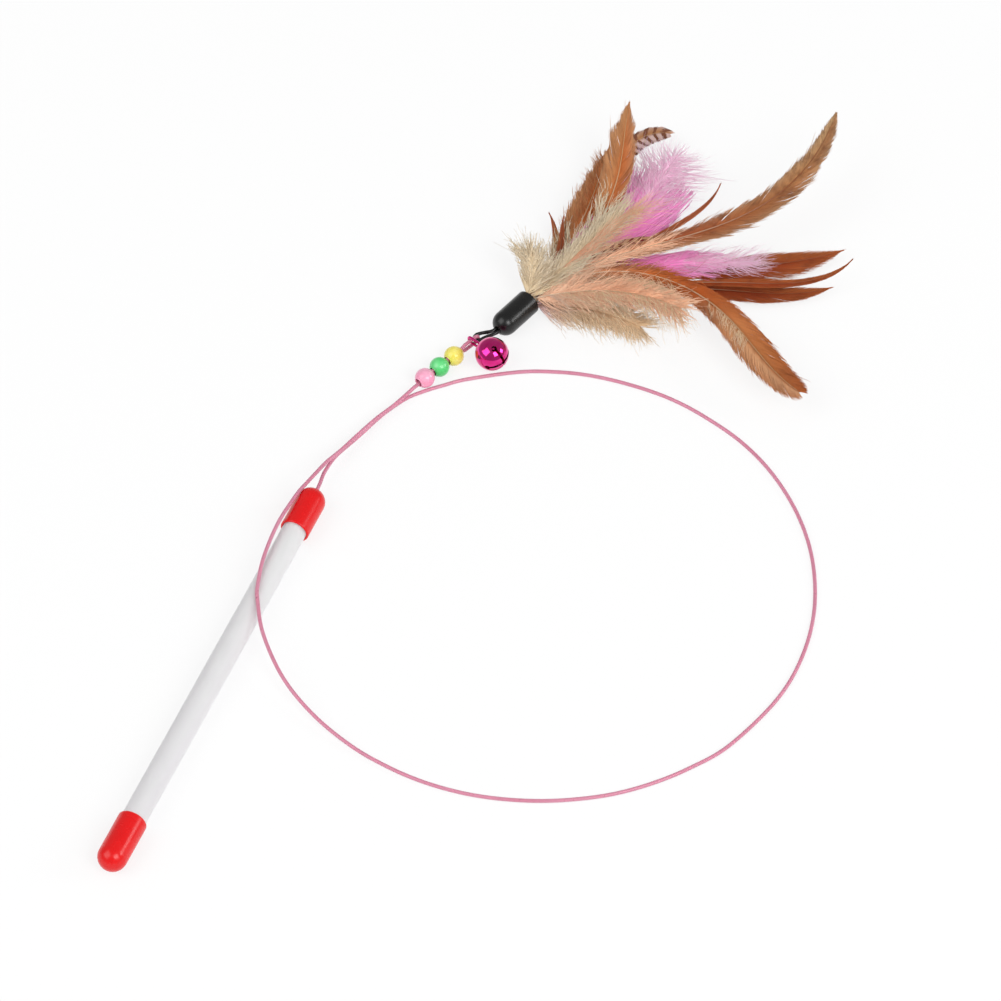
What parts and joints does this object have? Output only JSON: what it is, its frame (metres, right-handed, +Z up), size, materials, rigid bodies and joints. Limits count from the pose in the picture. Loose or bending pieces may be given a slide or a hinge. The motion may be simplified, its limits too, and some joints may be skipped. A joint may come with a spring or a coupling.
{
  "type": "cat teaser wand",
  "caption": "Cat toy: short capped tube handle, a long spring wire, beads and a bell on the wire's doubled end, and a corded lure of mixed feathers.",
  "frame": {"origin": "on the handle's axis, at the middle of the rear cap's straight wall", "axes": "+Y along the handle towards the wire, +Z up as the toy lies on a floor 5 mm below the origin, +X towards the wire's loop"},
  "size_m": [0.1802, 0.3788, 0.0266],
  "materials": {
    "tube": "milky translucent, semi-gloss",
    "red_cap": "soft vinyl, satin",
    "crimp": "plain",
    "pink_wire": "spring steel in a smooth pink coating",
    "bead_pink": "pearly, translucent",
    "bead_green": "pearly, translucent",
    "bead_yellow": "pearly, translucent",
    "bell": "mirror-bright magenta",
    "pellet": "plain",
    "cord": "tight black cord",
    "black_cap": "glossy",
    "glue": "clear amber",
    "feather_tan": "soft vane, tan with rust edges",
    "feather_brown": "soft vane, red-brown",
    "feather_barred": "soft vane with dark bars",
    "feather_pink": "loose marabou",
    "feather_rust": "soft vane, rust",
    "feather_cream": "down",
    "feather_peach": "down"
  },
  "bodies": {
    "wand": {"handle_tube": "tube", "rear_cap": "red_cap", "front_cap": "red_cap", "wire_stop": "crimp", "wire": "pink_wire", "wire_eye": "pink_wire"},
    "pink_bead": {"bead_pink": "bead_pink"},
    "green_bead": {"bead_green": "bead_green"},
    "yellow_bead": {"bead_yellow": "bead_yellow"},
    "bell": {"bell_top": "bell", "bell_bottom": "bell", "bell_shank": "bell"},
    "pellet": {"bell_pellet": "pellet"},
    "cord_loop": {"lure_cord": "cord"},
    "lure": {"cord_knot": "cord", "lure_cap": "black_cap", "glue_plug": "glue", "feather_tan_front": "feather_tan", "feather_tan_back": "feather_tan", "feather_sliver_left": "feather_brown", "feather_sliver_mid": "feather_brown", "feather_barred": "feather_barred", "feather_barred_short": "feather_barred", "plume_pink_upper": "feather_pink", "feather_sliver_pink": "feather_brown", "feather_long": "feather_brown", "plume_pink_lower": "feather_pink", "feather_rust_upper": "feather_rust", "feather_rust_curved": "feather_rust", "feather_rust_lower": "feather_rust", "feather_broad": "feather_tan", "down_upper": "feather_cream", "down_left": "feather_cream", "down_lower": "feather_cream", "down_peach": "feather_peach"}
  },
  "joints": [
    {"name": "bead_pink_spin", "type": "hinge", "parent": "wand", "child": "pink_bead", "pos_m": [0.01366, 0.21858, -0.0016], "axis": [0.3827, 0.9239, 0], "continuous": true},
    {"name": "bead_green_spin", "type": "hinge", "parent": "wand", "child": "green_bead", "pos_m": [0.01632, 0.225, -0.0016], "axis": [0.3827, 0.9239, 0], "continuous": true},
    {"name": "bead_yellow_spin", "type": "hinge", "parent": "wand", "child": "yellow_bead", "pos_m": [0.01898, 0.23142, -0.0016], "axis": [0.3827, 0.9239, 0], "continuous": true},
    {"name": "bell_swing", "type": "hinge", "parent": "wand", "child": "bell", "pos_m": [0.02215, 0.23909, -0.00025], "axis": [-0.3827, -0.9239, 0], "range_deg": [-2, 170]},
    {"name": "pellet_roll", "type": "hinge", "parent": "bell", "child": "pellet", "pos_m": [0.03134, 0.23528, 0.0008], "axis": [0.9188, -0.3806, 0.105], "continuous": true},
    {"name": "cord_swing", "type": "hinge", "parent": "wand", "child": "cord_loop", "pos_m": [0.02292, 0.24094, -0.0016], "axis": [0.9239, -0.3827, 0], "range_deg": [-85, 95]},
    {"name": "lure_sway", "type": "hinge", "parent": "cord_loop", "child": "lure", "pos_m": [0.02846, 0.24698, -0.0006], "axis": [0, 0, 1], "range_deg": [-12, 45], "deforming": ["lure_cord"]}
  ]
}
